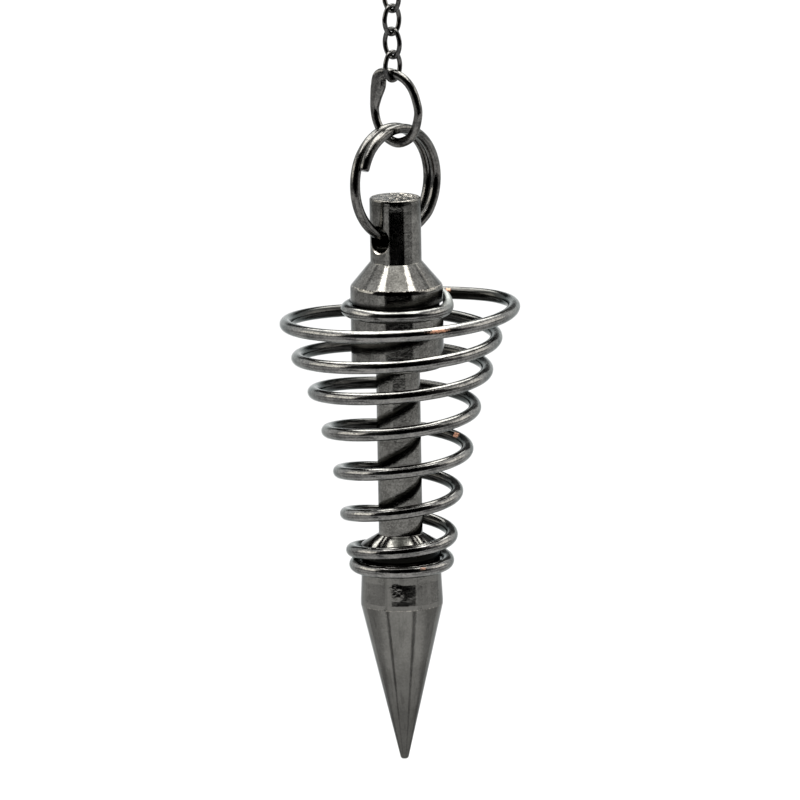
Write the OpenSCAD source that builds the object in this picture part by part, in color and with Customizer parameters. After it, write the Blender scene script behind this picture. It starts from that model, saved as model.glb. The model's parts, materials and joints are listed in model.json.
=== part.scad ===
// Pendulum pendant: a turned metal weight inside a conical wire spiral, hung by a
// split ring, a pear-shaped ring and a short length of cable chain.
// Millimetres, +Z up, the front of the object faces -Y. The origin is the inside
// top of the first chain link, where the pendulum hangs.

/* [Chain] */
// Outer length of a chain link
link_l = 3.7; // [3.1:0.1:5.5]
// Outer width of a chain link
link_w = 2.8; // [2.5:0.1:3.2]
// Wire thickness of a chain link
link_wire_d = 0.54; // [0.4:0.02:0.6]
// Radius of the wire's middle line at a link's round ends
link_end_r = 0.9; // [0.85:0.05:1.0]

/* [Pear ring] */
// Height of the pear ring's wire middle line, from bottom to top
pear_h = 7.75; // [6.8:0.05:9]
// Width of the pear ring's wire middle line
pear_w = 5.5; // [5:0.1:6.5]
// Wire thickness of the pear ring
pear_wire_d = 0.95; // [0.7:0.05:1.05]
// Greatest width of the flattened part of the pear ring
pear_flat_w = 1.75; // [1.1:0.05:2.2]
// Turn of the pear ring about the vertical, from facing the front
pear_yaw = 30; // [15:1:45]

/* [Split ring] */
// Diameter of the split ring's wire middle line
ring_d = 12.2; // [11:0.1:15]
// Wire thickness of the split ring
ring_wire_d = 1.1; // [0.8:0.05:1.15]
// Turn of the split ring's plane from the side direction
ring_yaw = 47; // [35:1:60]

/* [Weight] */
// Diameter of the neck
neck_d = 5.7; // [4.8:0.1:6.5]
// Length of the neck
neck_h = 7.2; // [6.4:0.1:10]
// Distance from the neck's top down to the middle of the cross hole
hole_drop = 4.5; // [3:0.1:4.8]
// Diameter of the cross hole
hole_d = 2.7; // [2.5:0.05:3.2]
// Height of the cone between neck and collar
shoulder_h = 2.75; // [1.5:0.05:4]
// Diameter of the collar
collar_d = 10.3; // [9:0.1:12]
// Height of the collar
collar_h = 9.1; // [6:0.1:12]
// Diameter of the rod between collar and barrel
rod_d = 4.9; // [3:0.1:6]
// Length of the rod
rod_h = 18.95; // [14:0.05:26]
// Height of the shallow cone on top of the barrel
barrel_cone_h = 1.2; // [0.6:0.1:2.5]
// Diameter of the barrel at its upper end
barrel_top_d = 8.9; // [8:0.1:9.6]
// Diameter of the barrel at its lower end
barrel_d = 9.15; // [8:0.05:10]
// Height of the barrel
barrel_h = 6.8; // [4.5:0.1:10]
// Length of the point
point_h = 17.8; // [10:0.1:30]
// Diameter of the blunt tip
tip_d = 0.8; // [0.5:0.1:1.5]
// Rounding of the turned edges
edge_r = 0.25; // [0.1:0.05:0.35]

/* [Spiral] */
// Thickness of the spiral wire
wire_d = 1.4; // [1:0.05:1.6]
// Diameter of the spiral's wire middle line at its widest turn
spiral_d = 26; // [18:0.1:34]
// Depth of the groove that seats the spiral on the collar
collar_groove = 0.37; // [0.2:0.01:0.6]
// Depth of the groove that seats the spiral on the barrel
barrel_groove = 0.1; // [0.05:0.01:0.4]
// Distance from the collar's top edge down to the middle of its groove
collar_groove_drop = 2.55; // [1.5:0.05:4]
// Distance from the barrel's top edge down to the middle of its groove
barrel_groove_drop = 2.25; // [1.5:0.05:3]

/* [Hidden] */

link_count = 4;
// Free play where one piece hangs in another, and round a seated wire
play = 0.03;
seat_play = 0.06;
// Free play of the split ring's two layers across the bend of the pear ring
bend_play = 0.1;
// Sides of a wire and steps along it
link_sides = 6;
link_steps = 24;
ring_sides = 8;
ring_steps = 44;
pear_sides = 10;
pear_steps = 48;
spiral_sides = 8;
spiral_steps = 32;
edge_steps = 3;

// Crown of the spiral, from its raised end on the collar out to the widest turn.
// A turn is counted from the widest point at the right, and runs by the front.
// Columns: turn, share of the way from the collar seat out to the widest radius,
// lift above the seat as a share of the wire's thickness
CROWN = [
    [-1.09, 0.055, 0.80],
    [-1.05, 0.055, 0.48],
    [-1.01, 0.025, 0.12],
    [-0.96, 0, 0],
    [-0.75, 0, 0],
    [-0.50, 0, 0],
    [-0.417, 0.01, 0],
    [-0.333, 0.10, 0],
    [-0.25, 0.29, 0],
    [-0.139, 0.67, 0],
    [-0.083, 0.90, 0],
    [-0.042, 0.98, 0],
    [0, 1, 0]
];
// The open turns, from the widest point down to the barrel seat.
// Columns: turn, share of the way from the barrel seat out to the widest radius,
// share of the way down from the collar seat to the barrel seat
TURNS = [
    [0, 1, 0],
    [0.5, 0.918, 0.054],
    [1, 0.744, 0.121],
    [1.5, 0.763, 0.188],
    [2, 0.607, 0.248],
    [2.5, 0.543, 0.322],
    [3, 0.429, 0.393],
    [3.5, 0.359, 0.475],
    [4, 0.311, 0.555],
    [4.5, 0.205, 0.635],
    [5, 0.157, 0.720],
    [5.5, 0.118, 0.801],
    [6, 0.070, 0.887],
    [6.5, 0.041, 0.938],
    [7, 0.012, 0.989],
    [7.3, 0, 1],
    [7.6, 0, 1]
];

// Shape of the pear ring in its own plane, clockwise from its lowest point.
// Columns: place along the wire, across as a share of the width, up as a share of
// the height, width of the wire as a share of the way to the flattened width,
// squareness of the wire
PEAR = [
    [0, 0.10, 0, 0, 0],
    [1, 0.425, 0.12, 0, 0],
    [2, 0.57, 0.41, 0, 0],
    [3, 0.53, 0.63, 0, 0],
    [4, 0.41, 0.82, 0, 0],
    [5, 0.22, 0.945, 0, 0],
    [6, -0.03, 1, 0.1, 0.2],
    [7, -0.25, 0.945, 0.7, 1],
    [8, -0.33, 0.80, 1, 1],
    [9, -0.395, 0.63, 0.45, 0.8],
    [10, -0.43, 0.45, 0.02, 0.2],
    [11, -0.37, 0.255, 0, 0],
    [12, -0.205, 0.085, 0, 0]
];
// Columns: angle on the split ring from its lowest point, sideways place of the
// wire as a share of one layer's offset
LAYERS = [
    [-320, -1],
    [-160, -1],
    [-125, -0.92],
    [-90, -0.5],
    [-25, 0],
    [22, 0],
    [50, 0.95],
    [70, 1],
    [225, 1],
    [254, 1.35]
];
RING_FIRST_DEG = -320;
RING_LAST_DEG = 254;

// Where the pieces hang, each from the one above it
link_pitch = link_l - 2 * link_wire_d - play;
last_link_z = 1.5 * link_wire_d - link_l - (link_count - 1) * link_pitch;
pear_top_z = last_link_z + (link_wire_d + pear_wire_d) / 2 + play;
pear_low_z = pear_top_z - pear_h;

// The split ring's two layers straddle the curved bottom of the pear ring
layer_offset = (ring_wire_d + play) / 2;
ring_r = ring_d / 2;
pear_bend_r = pear_w / 2;
straddle = layer_offset + pear_w * PEAR[0][1];
layer_reach = pear_bend_r - (pear_wire_d + ring_wire_d) / 2 - bend_play;
ring_top_z = pear_low_z + pear_bend_r
    - sqrt(layer_reach * layer_reach - straddle * straddle);
ring_z = ring_top_z - ring_r;

// The mouths of the cross hole rest on the split ring where it curves up past the neck
ring_inner_r = ring_r - ring_wire_d / 2;
hole_z = ring_z - sqrt(ring_inner_r * ring_inner_r - neck_d * neck_d / 4) - hole_d / 2 + play;
neck_top_z = hole_z + hole_drop;
shoulder_z = neck_top_z - neck_h;
collar_top_z = shoulder_z - shoulder_h;
collar_low_z = collar_top_z - collar_h;
rod_low_z = collar_low_z - rod_h;
barrel_top_z = rod_low_z - barrel_cone_h;
barrel_low_z = barrel_top_z - barrel_h;
tip_z = barrel_low_z - point_h;
tip_r = 0.4 * tip_d;

// The spiral's two seats
upper_groove_r = collar_d / 2 - collar_groove;
upper_seat_r = upper_groove_r + seat_play + wire_d / 2;
upper_seat_z = collar_top_z - collar_groove_drop;
lower_groove_r = barrel_top_d / 2 - barrel_groove;
lower_seat_r = lower_groove_r + seat_play + wire_d / 2;
lower_seat_z = barrel_top_z - barrel_groove_drop;
groove_half = wire_d / 2 + 2 * seat_play;
widest_r = spiral_d / 2;
spiral_drop = upper_seat_z - lower_seat_z;

// Smooth value of a table's column at place t, and its slope at row i
function slope_at(table, col, i) =
    let (a = max(i - 1, 0), b = min(i + 1, len(table) - 1))
    (table[b][col] - table[a][col]) / (table[b][0] - table[a][0]);
function row_before(table, t) =
    max([for (i = [0:len(table) - 2]) if (i == 0 || table[i][0] <= t) i]);
function smooth(table, col, t) =
    let (i = row_before(table, t), step = table[i + 1][0] - table[i][0],
        s = (t - table[i][0]) / step)
    table[i][col] * (2 * s * s * s - 3 * s * s + 1)
        + slope_at(table, col, i) * step * (s * s * s - 2 * s * s + s)
        + table[i + 1][col] * (3 * s * s - 2 * s * s * s)
        + slope_at(table, col, i + 1) * step * (s * s * s - s * s);
// A table that runs round and meets itself after a number of places
function moved(row, by) = [for (k = [0:len(row) - 1]) row[k] + (k == 0 ? by : 0)];
function looped(table, places) = concat([moved(table[len(table) - 1], -places)], table,
    [moved(table[0], places), moved(table[1], places)]);

function unit(v) = v / norm(v);
// Direction of a path at point i, and the two cross directions of its wire,
// of which the second lies along the given axis as nearly as it can
function heading(path, i, closed) =
    let (n = len(path), a = closed ? (i + n - 1) % n : max(i - 1, 0),
        b = closed ? (i + 1) % n : min(i + 1, n - 1))
    unit(path[b] - path[a]);
function across(path, i, axis, closed) = unit(cross(heading(path, i, closed), axis));
function along(path, i, axis, closed) =
    unit(cross(across(path, i, axis, closed), heading(path, i, closed)));

// Rounded section: an ellipse that the squareness draws out towards a rectangle
function bulge(v, square) = sign(v) * pow(abs(v), 1 - 0.45 * square);
function section(width, thick, square, sides) =
    [for (k = [0:sides - 1]) let (a = 360 * (k + 0.5) / sides)
        [width / 2 * bulge(cos(a), square), thick / 2 * bulge(sin(a), square)]];

// A wire swept along a path, with one section for each of its points
module wire(path, sections, axis, closed) {
    n = len(path);
    sides = len(sections[0]);
    points = [for (i = [0:n - 1], p = sections[i])
        path[i] + p[0] * across(path, i, axis, closed) + p[1] * along(path, i, axis, closed)];
    spans = closed ? n : n - 1;
    skin = [for (i = [0:spans - 1], k = [0:sides - 1])
        let (j = (i + 1) % n, m = (k + 1) % sides)
        each [[i * sides + k, i * sides + m, j * sides + m],
            [i * sides + k, j * sides + m, j * sides + k]]];
    ends = closed ? [] : [[for (k = [sides - 1:-1:0]) k],
        [for (k = [0:sides - 1]) (n - 1) * sides + k]];
    polyhedron(points, concat(skin, ends));
}

// Middle line of an oval link standing in the XZ plane, made of four arcs
function link_path(length, width, end_r, steps) =
    let (a = length / 2, b = width / 2,
        side_r = (b * b - end_r * end_r + (a - end_r) * (a - end_r)) / (2 * (b - end_r)),
        swing = atan2(a - end_r, side_r - b), q = steps / 8)
    [for (side = [1, -1])
        each concat(
            [for (k = [-q:q - 1]) let (g = swing * k / q)
                [side * (b - side_r + side_r * cos(g)), 0, side * side_r * sin(g)]],
            [for (k = [0:2 * q - 1]) let (g = swing + (180 - 2 * swing) * k / (2 * q))
                [side * end_r * cos(g), 0, side * (a - end_r + end_r * sin(g))]])];

module chain_link(k) {
    path = link_path(link_l - link_wire_d, link_w - link_wire_d, link_end_r, link_steps);
    sections = [for (p = path) section(link_wire_d, link_wire_d, 0, link_sides)];
    lean = k % 2 == 0 ? 45 : -45;
    color("dimgray")
        translate([0, 0, link_wire_d - link_l / 2 - (k - 1) * link_pitch])
            rotate([0, 0, lean])
                wire(path, sections, [0, 1, 0], true);
}

module pear_ring() {
    rows = looped(PEAR, len(PEAR));
    places = [for (i = [0:pear_steps - 1]) len(PEAR) * i / pear_steps];
    path = [for (t = places) [pear_w * smooth(rows, 1, t), 0,
        pear_low_z + pear_h * smooth(rows, 2, t)]];
    sections = [for (t = places)
        section(pear_wire_d + (pear_flat_w - pear_wire_d) * max(0, smooth(rows, 3, t)),
            pear_wire_d, min(1, max(0, smooth(rows, 4, t))), pear_sides)];
    color("dimgray")
        rotate([0, 0, -pear_yaw])
            wire(path, sections, [0, 1, 0], true);
}

module split_ring() {
    steps = ceil((RING_LAST_DEG - RING_FIRST_DEG) / 360 * ring_steps);
    path = [for (i = [0:steps])
        let (g = RING_FIRST_DEG + (RING_LAST_DEG - RING_FIRST_DEG) * i / steps)
        [ring_r * sin(g), -layer_offset * lookup(g, LAYERS), ring_z - ring_r * cos(g)]];
    sections = [for (p = path) section(ring_wire_d, ring_wire_d, 0, ring_sides)];
    color("dimgray")
        rotate([0, 0, ring_yaw])
            wire(path, sections, [0, 1, 0], false);
}

// Rounded corner of a turned outline: an arc that leaves towards from and to
function turned_edge(corner, from, to, r) =
    let (u = unit(from - corner), v = unit(to - corner), half = acos(u * v) / 2,
        reach = r / tan(half), centre = corner + unit(u + v) * (r / sin(half)),
        p = corner + u * reach - centre, q = corner + v * reach - centre,
        turn = atan2(p[0] * q[1] - p[1] * q[0], p * q))
    [for (k = [0:edge_steps]) let (g = turn * k / edge_steps)
        centre + [p[0] * cos(g) - p[1] * sin(g), p[0] * sin(g) + p[1] * cos(g)]];

// Groove with its floor at radius r, cut into a turned face of radius outer_r
module groove(r, outer_r, z) {
    translate([0, 0, z - groove_half])
        rotate_extrude($fn = 96)
            translate([r, 0])
                square([outer_r + edge_r - r, 2 * groove_half]);
}

module weight_body() {
    neck_edge = [neck_d / 2, neck_top_z];
    collar_edge = [collar_d / 2, collar_top_z];
    collar_foot = [collar_d / 2, collar_low_z];
    barrel_edge = [barrel_top_d / 2, barrel_top_z];
    barrel_foot = [barrel_d / 2, barrel_low_z];
    tip = [tip_d / 2, tip_z];
    outline = concat(
        [[0, neck_top_z]],
        turned_edge(neck_edge, [0, neck_top_z], [neck_d / 2, shoulder_z], edge_r),
        [[neck_d / 2, shoulder_z]],
        turned_edge(collar_edge, [neck_d / 2, shoulder_z], collar_foot, edge_r),
        turned_edge(collar_foot, collar_edge, [rod_d / 2, collar_low_z], edge_r),
        [[rod_d / 2, collar_low_z], [rod_d / 2, rod_low_z]],
        turned_edge(barrel_edge, [rod_d / 2, rod_low_z], barrel_foot, edge_r),
        turned_edge(barrel_foot, barrel_edge, tip, edge_r),
        turned_edge(tip, barrel_foot, [0, tip_z], tip_r),
        [[0, tip_z]]);
    color("gray")
        difference() {
            rotate_extrude($fn = 96)
                polygon(outline);
            translate([0, 0, hole_z])
                rotate([0, 90, ring_yaw])
                    cylinder(h = 2 * neck_d, d = hole_d, center = true, $fn = 48);
            groove(upper_groove_r, collar_d / 2, upper_seat_z);
            groove(lower_groove_r, max(barrel_d, barrel_top_d) / 2, lower_seat_z);
        }
}

// Radius and height of the spiral's middle line at a number of turns
function spiral_r(t) = t < 0
    ? upper_seat_r + (widest_r - upper_seat_r) * smooth(CROWN, 1, t)
    : lower_seat_r + (widest_r - lower_seat_r) * max(0, smooth(TURNS, 1, t));
function spiral_z(t) = t < 0
    ? upper_seat_z + wire_d * smooth(CROWN, 2, t)
    : upper_seat_z - spiral_drop * smooth(TURNS, 2, t);

module spiral_wire() {
    first = CROWN[0][0];
    last = TURNS[len(TURNS) - 1][0];
    steps = ceil((last - first) * spiral_steps);
    path = [for (i = [0:steps]) let (t = first + (last - first) * i / steps, r = spiral_r(t))
        [r * cos(360 * t), -r * sin(360 * t), spiral_z(t)]];
    sections = [for (p = path) section(wire_d, wire_d, 0, spiral_sides)];
    color("slategray")
        wire(path, sections, [0, 0, 1], false);
}

chain_link(1);  // chain_link_1
chain_link(2);  // chain_link_2
chain_link(3);  // chain_link_3
chain_link(4);  // chain_link_4
pear_ring();
split_ring();
weight_body();
spiral_wire();
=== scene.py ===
"""Pendulum pendant: the looks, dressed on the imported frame.

A turned weight inside a conical wire spiral hangs by its drilled neck from a split
ring, a pear-shaped ring and a short cable chain. Lengths are metres and angles are
degrees. +Z is up, the viewer of the photo stands at -Y, and the origin is the inside
top of the first chain link.
"""

import json
import logging
import math
from dataclasses import dataclass, field
from enum import Enum
from typing import Any, Mapping, Optional, Sequence, Union

import bpy
import numpy as np
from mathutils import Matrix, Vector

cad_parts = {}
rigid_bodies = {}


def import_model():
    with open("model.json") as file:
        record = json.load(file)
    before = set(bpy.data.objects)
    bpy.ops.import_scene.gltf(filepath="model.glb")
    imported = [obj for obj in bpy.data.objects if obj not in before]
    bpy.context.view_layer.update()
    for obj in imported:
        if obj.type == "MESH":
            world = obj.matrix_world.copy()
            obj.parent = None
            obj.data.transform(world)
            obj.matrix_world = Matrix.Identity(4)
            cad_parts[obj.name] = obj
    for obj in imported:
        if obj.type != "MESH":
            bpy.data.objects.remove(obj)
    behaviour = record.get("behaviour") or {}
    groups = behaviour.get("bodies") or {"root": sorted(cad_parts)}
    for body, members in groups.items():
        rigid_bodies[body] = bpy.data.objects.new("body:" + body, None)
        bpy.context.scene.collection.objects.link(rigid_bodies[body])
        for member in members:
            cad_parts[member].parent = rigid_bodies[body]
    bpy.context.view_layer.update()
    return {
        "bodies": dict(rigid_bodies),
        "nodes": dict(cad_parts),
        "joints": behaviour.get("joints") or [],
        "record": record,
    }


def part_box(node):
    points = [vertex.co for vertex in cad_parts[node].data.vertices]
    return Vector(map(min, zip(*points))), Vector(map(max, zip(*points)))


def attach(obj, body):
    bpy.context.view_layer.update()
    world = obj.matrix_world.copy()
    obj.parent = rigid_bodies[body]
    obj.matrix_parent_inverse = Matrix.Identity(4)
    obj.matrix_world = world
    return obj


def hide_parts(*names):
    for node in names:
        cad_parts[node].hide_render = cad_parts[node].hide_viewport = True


log = logging.getLogger("pendulum")

MM = 0.001
SHARP_ANGLE = 38.0  # edges that fold by more degrees than this stay crisp
HAMMERED = 0.45     # how far a hammered bar's section is drawn out from an ellipse
SUPPORT = 1.25      # how far out a rounded corner's last points lie, 1 for the arc
ROUGHER = (0.35, 0.7)  # values of the clouds where a metal starts to be rougher, and is
POLE = 0.02 * MM    # radius of the small flat on which a turned body is closed
NEAR = 0.001 * MM   # tolerance when two heights are compared
LAY = "lay"    # vector attribute: place along a wire, and across it on two axes
WEAR = "wear"  # number attribute: how far the plating is rubbed through
DULL = "dull"  # number attribute: how dull it is
PAINTED_SHADE = "painted_shade"  # number attribute: how much painted shade it gets
EDGE = "edge"  # number attribute: degrees from the nearest edge of a card

Table = Sequence[Sequence[float]]
Colour = tuple[float, float, float]
Share = Union[float, np.ndarray]


def smooth(table: Table, column: int, places: np.ndarray) -> np.ndarray:
    """Reads one column of a table at any places, with smooth bends between its rows.

    Cubic Hermite pieces run from row to row, and the slope at a row is that of the
    chord between its neighbours.

    Args:
        table: Rows that start with their place, in rising order.
        column: The column to read.
        places: Where to read it.

    Returns:
        One value for each place.
    """
    rows = np.asarray(table, float)
    x, y = rows[:, 0], rows[:, column]
    low = np.maximum(np.arange(len(x)) - 1, 0)
    high = np.minimum(np.arange(len(x)) + 1, len(x) - 1)
    slope = (y[high] - y[low]) / (x[high] - x[low])
    i = np.clip(np.searchsorted(x, places, side="right") - 1, 0, len(x) - 2)
    step = x[i + 1] - x[i]
    s = (places - x[i]) / step
    return (y[i] * (2 * s**3 - 3 * s**2 + 1) + slope[i] * step * (s**3 - 2 * s**2 + s)
            + y[i + 1] * (3 * s**2 - 2 * s**3) + slope[i + 1] * step * (s**3 - s**2))


def looped(table: Table, places: int) -> np.ndarray:
    """Adds a row before and two rows after a table that runs round and meets itself.

    Args:
        table: The rows of one round.
        places: How many places one round has.

    Returns:
        The longer table, for smooth().
    """
    rows = np.asarray(table, float)
    shift = np.zeros_like(rows[0])
    shift[0] = places
    return np.vstack([rows[-1] - shift, rows, rows[0] + shift, rows[1] + shift])


def unit(vectors: np.ndarray) -> np.ndarray:
    """Scales each vector to length one."""
    return vectors / np.linalg.norm(vectors, axis=-1, keepdims=True)


def turned_about_z(points: np.ndarray, degrees: float) -> np.ndarray:
    """Turns points about the vertical: x' = x cos - y sin, y' = x sin + y cos."""
    c, s = math.cos(math.radians(degrees)), math.sin(math.radians(degrees))
    return points @ np.array([[c, s, 0.0], [-s, c, 0.0], [0.0, 0.0, 1.0]])


def wire_frame(path: np.ndarray, axis: Sequence[float],
               closed: bool) -> tuple[np.ndarray, np.ndarray]:
    """Gives the two cross directions of a wire at each point of its path.

    The heading is the chord between a point's neighbours. The first direction is
    square to the heading and the axis, and the second lies as near to the axis as it
    can.

    Args:
        path: The middle line, n x 3.
        axis: The axis that the second direction leans towards.
        closed: Whether the path meets itself.

    Returns:
        The two directions, each n x 3.
    """
    if closed:
        heading = unit(np.roll(path, -1, 0) - np.roll(path, 1, 0))
    else:
        heading = unit(np.gradient(path, axis=0))
    across = unit(np.cross(heading, np.asarray(axis, float)))
    return across, unit(np.cross(across, heading))


def side_angles(sides: int) -> np.ndarray:
    """Angle of each side of a wire, from the first direction towards the second."""
    return 2 * np.pi * (np.arange(sides) + 0.5) / sides


def rounded_outline(width: np.ndarray, thick: np.ndarray, square: np.ndarray,
                    sides: int, inner: float = 1.0) -> np.ndarray:
    """Sections of a wire: ellipses that are drawn out towards rounded rectangles.

    A point at angle a lies at width / 2 * cos(a)^p and thick / 2 * sin(a)^p, where p
    is 1 for an ellipse and 1 - HAMMERED for a hammered bar.

    Args:
        width: Width at each station.
        thick: Thickness at each station.
        square: How rectangular each section is, from 0 to 1.
        sides: Number of sides.
        inner: Share of that squareness on the side that faces inwards.

    Returns:
        Points, stations x sides x 2.
    """
    a = side_angles(sides)
    share = np.where(np.cos(a) > 0, inner, 1.0)
    power = 1 - HAMMERED * np.clip(square, 0, 1)[:, None] * share
    u = np.sign(np.cos(a)) * np.abs(np.cos(a)) ** power
    v = np.sign(np.sin(a)) * np.abs(np.sin(a)) ** power
    return np.stack([width[:, None] / 2 * u, thick[:, None] / 2 * v], axis=-1)


def trimmed_ends(sizes: np.ndarray, trims: Sequence[float]) -> np.ndarray:
    """Thins a wire's last stations at each end, which rounds its cut ends a little.

    Args:
        sizes: Size at each station.
        trims: Factors from each end inwards.

    Returns:
        The thinned sizes.
    """
    factors = np.ones(len(sizes))
    for k, trim in enumerate(trims):
        factors[[k, -1 - k]] = trim
    return sizes * factors


def rounded_corner(corner: np.ndarray, before: np.ndarray, after: np.ndarray,
                   radius: float, steps: int = 7) -> np.ndarray:
    """Arc that rounds the corner of a turned outline.

    The arc touches both legs at radius / tan(half the corner's angle) from the corner,
    and its middle lies on the corner's bisector. One more point a quarter of that
    distance further out on each leg keeps the shading of the long faces even.

    Args:
        corner: The sharp corner, (radius, height).
        before: A point on the leg that comes in.
        after: A point on the leg that leaves.
        radius: Radius of the arc.
        steps: Steps along it.

    Returns:
        The points, (steps + 3) x 2.
    """
    u, v = unit(before - corner), unit(after - corner)
    half = math.acos(float(u @ v)) / 2
    centre = corner + unit(u + v) * radius / math.sin(half)
    touch = radius / math.tan(half)
    p = corner + u * touch - centre
    q = corner + v * touch - centre
    swing = math.atan2(p[0] * q[1] - p[1] * q[0], float(p @ q))
    g = swing * np.arange(steps + 1) / steps
    arc = centre + np.stack([p[0] * np.cos(g) - p[1] * np.sin(g),
                             p[0] * np.sin(g) + p[1] * np.cos(g)], axis=-1)
    return np.stack([corner + SUPPORT * touch * u, *arc, corner + SUPPORT * touch * v])


def shade(mesh: bpy.types.Mesh) -> None:
    """Shades a mesh smoothly and keeps its sharp edges crisp."""
    mesh.shade_smooth()
    mesh.set_sharp_from_angle(angle=math.radians(SHARP_ANGLE))


class Skin:
    """A closed surface put together from grids of points and flat end caps."""

    def __init__(self, name: str) -> None:
        """Starts an empty surface.

        Args:
            name: Name of the piece.
        """
        self.name = name
        self._points: list[np.ndarray] = []
        self._corners: list[np.ndarray] = []
        self._sizes: list[np.ndarray] = []
        self._numbers: dict[str, list[np.ndarray]] = {}
        self._count = 0

    def grid(self, points: np.ndarray, closed_rows: bool = False,
             closed_columns: bool = True, caps: tuple[bool, bool] = (True, True),
             **numbers: np.ndarray) -> "Skin":
        """Adds a grid of points as four-sided faces.

        Args:
            points: The grid, rows x columns x 3.
            closed_rows: Whether the last row meets the first one.
            closed_columns: Whether the last column meets the first one.
            caps: Whether the first and the last row are closed with a flat cap.
            **numbers: Attributes, each rows x columns or rows x columns x 3.

        Returns:
            This surface.
        """
        rows, columns = points.shape[:2]
        index = self._count + np.arange(rows * columns).reshape(rows, columns)
        i = np.arange(rows if closed_rows else rows - 1)
        k = np.arange(columns if closed_columns else columns - 1)
        below = index[np.ix_(i, k)]
        right = index[np.ix_(i, (k + 1) % columns)]
        above_right = index[np.ix_((i + 1) % rows, (k + 1) % columns)]
        above = index[np.ix_((i + 1) % rows, k)]
        self._corners.append(np.stack([below, right, above_right, above], -1).ravel())
        self._sizes.append(np.full(below.size, 4))
        ends = (index[0, ::-1], index[-1])
        for wanted, end in zip(caps, ends):
            if wanted and not closed_rows:
                self._corners.append(end)
                self._sizes.append(np.array([columns]))
        self._points.append(points.reshape(-1, 3))
        for name, values in numbers.items():
            width = () if values.ndim == 2 else (3,)
            self._numbers.setdefault(name, []).append(values.reshape(-1, *width))
        self._count += rows * columns
        return self

    def _facing_out(self, points: np.ndarray, starts: np.ndarray,
                    sizes: np.ndarray) -> np.ndarray:
        """Lists the faces' corners in the order that turns every face outwards.

        Six times the volume is the sum of a . (b x c) over each face's fan of
        triangles. Where that is negative, every face is turned round.

        Args:
            points: The points, n x 3.
            starts: Place of each face's first corner in the list.
            sizes: Number of corners of each face.

        Returns:
            The point at each corner.
        """
        corners = np.concatenate(self._corners)
        place = np.arange(len(corners))
        face = np.repeat(np.arange(len(sizes)), sizes)
        first, last = starts[face], starts[face] + sizes[face] - 1
        following = np.where(place == last, first, place + 1)
        a, b, c = points[corners[first]], points[corners], points[corners[following]]
        if np.einsum("ij,ij->", a, np.cross(b, c)) < 0:
            corners = corners[first + last - place]
        return corners

    def mesh(self) -> bpy.types.Mesh:
        """Makes the mesh, with its attributes and its sharp edges marked.

        Returns:
            The mesh.
        """
        points = np.concatenate(self._points)
        sizes = np.concatenate(self._sizes)
        starts = np.concatenate([[0], np.cumsum(sizes)[:-1]])
        corners = self._facing_out(points, starts, sizes)
        mesh = bpy.data.meshes.new(self.name)
        mesh.vertices.add(len(points))
        mesh.vertices.foreach_set("co", points.ravel())
        mesh.loops.add(len(corners))
        mesh.loops.foreach_set("vertex_index", corners.astype(np.int32))
        mesh.polygons.add(len(sizes))
        mesh.polygons.foreach_set("loop_start", starts.astype(np.int32))
        mesh.update(calc_edges=True)
        mesh.validate()
        for name, parts in self._numbers.items():
            values = np.concatenate(parts)
            single = values.ndim == 1
            kind, key = ("FLOAT", "value") if single else ("FLOAT_VECTOR", "vector")
            layer = mesh.attributes.new(name, kind, "POINT")
            layer.data.foreach_set(key, values.ravel())
        shade(mesh)
        return mesh

    def make(self) -> bpy.types.Object:
        """Makes the object at the origin and puts it in the scene."""
        piece = bpy.data.objects.new(self.name, self.mesh())
        bpy.context.scene.collection.objects.link(piece)
        return piece


def place_points(piece: bpy.types.Object, yaw: float, move: np.ndarray) -> None:
    """Turns a piece's points about the vertical and then moves them.

    Args:
        piece: The piece, whose object stays at the origin.
        yaw: The turn.
        move: The move.
    """
    points = np.empty(len(piece.data.vertices) * 3)
    piece.data.vertices.foreach_get("co", points)
    points = turned_about_z(points.reshape(-1, 3), yaw) + move
    piece.data.vertices.foreach_set("co", points.ravel())
    piece.data.update()


def wire_skin(name: str, path: np.ndarray, outline: np.ndarray, axis: Sequence[float],
              closed: bool, wear: Share = 0.0, dull: Share = 0.0,
              painted_shade: Share = 0.0) -> Skin:
    """Carries sections along a path.

    A point is path + u * across + v * along, with (u, v) from the section. The lay
    attribute holds the length along the wire and the section's own u and v.

    Args:
        name: Name of the piece.
        path: The middle line, n x 3.
        outline: The sections, n x sides x 2.
        axis: The axis that the sections' second direction leans towards.
        closed: Whether the wire meets itself.
        wear: How far the plating is rubbed through, as one number for the whole wire
            or as an array that spreads over n x sides.
        dull: How dull it is, likewise.
        painted_shade: How much painted shade it gets, likewise.

    Returns:
        The surface.
    """
    across, along = wire_frame(path, axis, closed)
    points = (path[:, None] + outline[..., :1] * across[:, None]
              + outline[..., 1:] * along[:, None])
    stations = points.shape[:2]
    steps = np.linalg.norm(np.diff(path, axis=0), axis=1)
    length = np.concatenate([[0.0], np.cumsum(steps)])[:, None, None]
    lay = np.concatenate([np.broadcast_to(length, (*stations, 1)), outline], axis=-1)
    shares = {key: np.broadcast_to(share, stations)
              for key, share in ((WEAR, wear), (DULL, dull), (PAINTED_SHADE, painted_shade))}
    return Skin(name).grid(points, closed_rows=closed, **{LAY: lay}, **shares)


@dataclass(frozen=True)
class Noise:
    """Cloudy noise from 0 to 1.

    Attributes:
        scale: Clouds in a metre.
        detail: Octaves of finer clouds.
        rough: How strong the finer ones are.
    """

    scale: float
    detail: float = 2.0
    rough: float = 0.5


Value = Union["Signal", float, Sequence[float]]


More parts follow.
